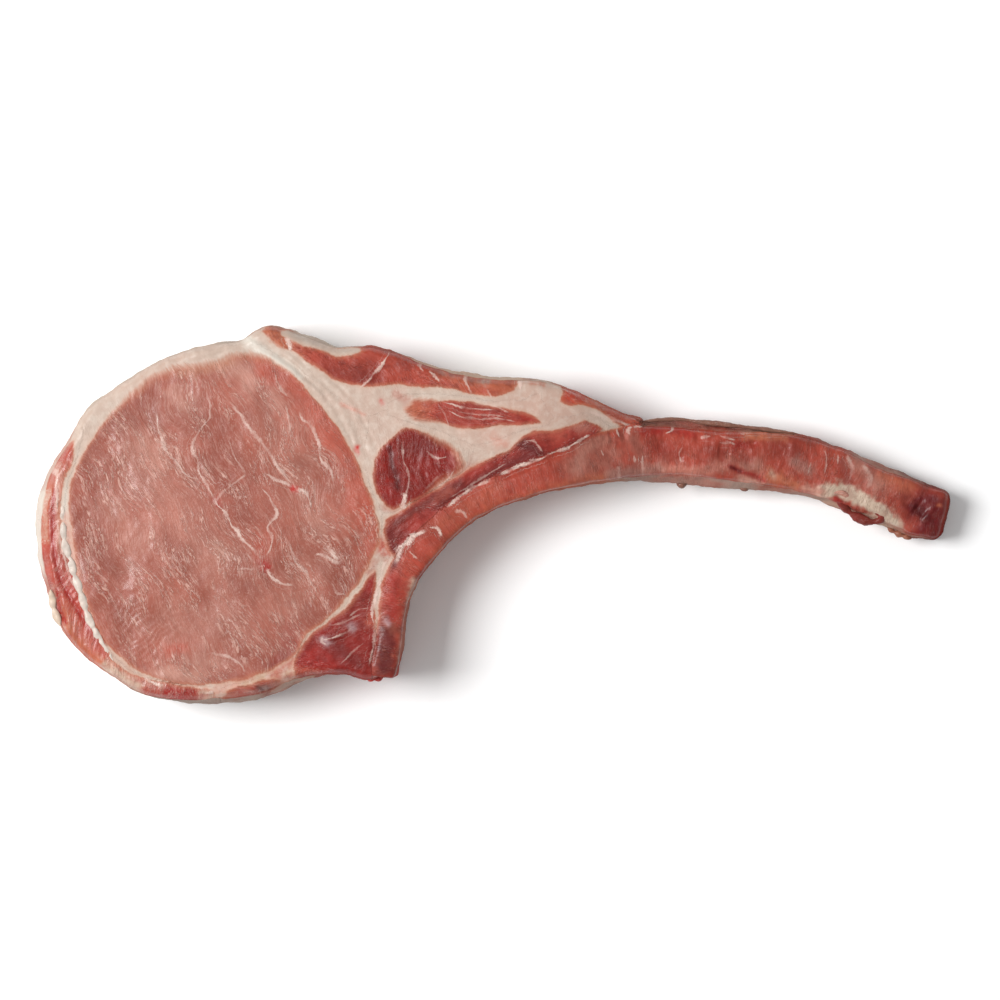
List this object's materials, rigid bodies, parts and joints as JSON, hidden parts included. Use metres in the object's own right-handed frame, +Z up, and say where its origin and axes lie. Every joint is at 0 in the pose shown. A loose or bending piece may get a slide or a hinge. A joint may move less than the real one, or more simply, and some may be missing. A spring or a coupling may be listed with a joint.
{
  "type": "raw pork chop",
  "caption": "Raw bone-in pork rib chop with a long unfrenched rib, lying on its cut face: round eye muscle, fat cap and smaller muscles round a curved rib.",
  "frame": {"origin": "on the flat underside, below the middle of the eye muscle", "axes": "+X runs from the eye muscle along the rib to its tip, +Y towards the fat cap, +Z up out of the shown cut face"},
  "size_m": [0.2535, 0.1046, 0.0312],
  "materials": {
    "eye_lean": "moist pale lean with fine marbling",
    "pale_lean": "moist pale lean",
    "red_lean": "moist dark red lean",
    "rib_meat": "moist red lean left on the rib",
    "fat": "firm cream fat, slightly greasy"
  },
  "bodies": {
    "root": {"loin_eye": "eye_lean", "side_muscle": "pale_lean", "lower_muscle": "pale_lean", "tail_muscle": "pale_lean", "cap_muscle": "red_lean", "inner_muscle": "red_lean", "oval_muscle": "red_lean", "rib_muscle": "red_lean", "chine_muscle": "red_lean", "rib": "rib_meat", "fat_cap": "fat", "edge_fat": "fat"}
  },
  "joints": []
}
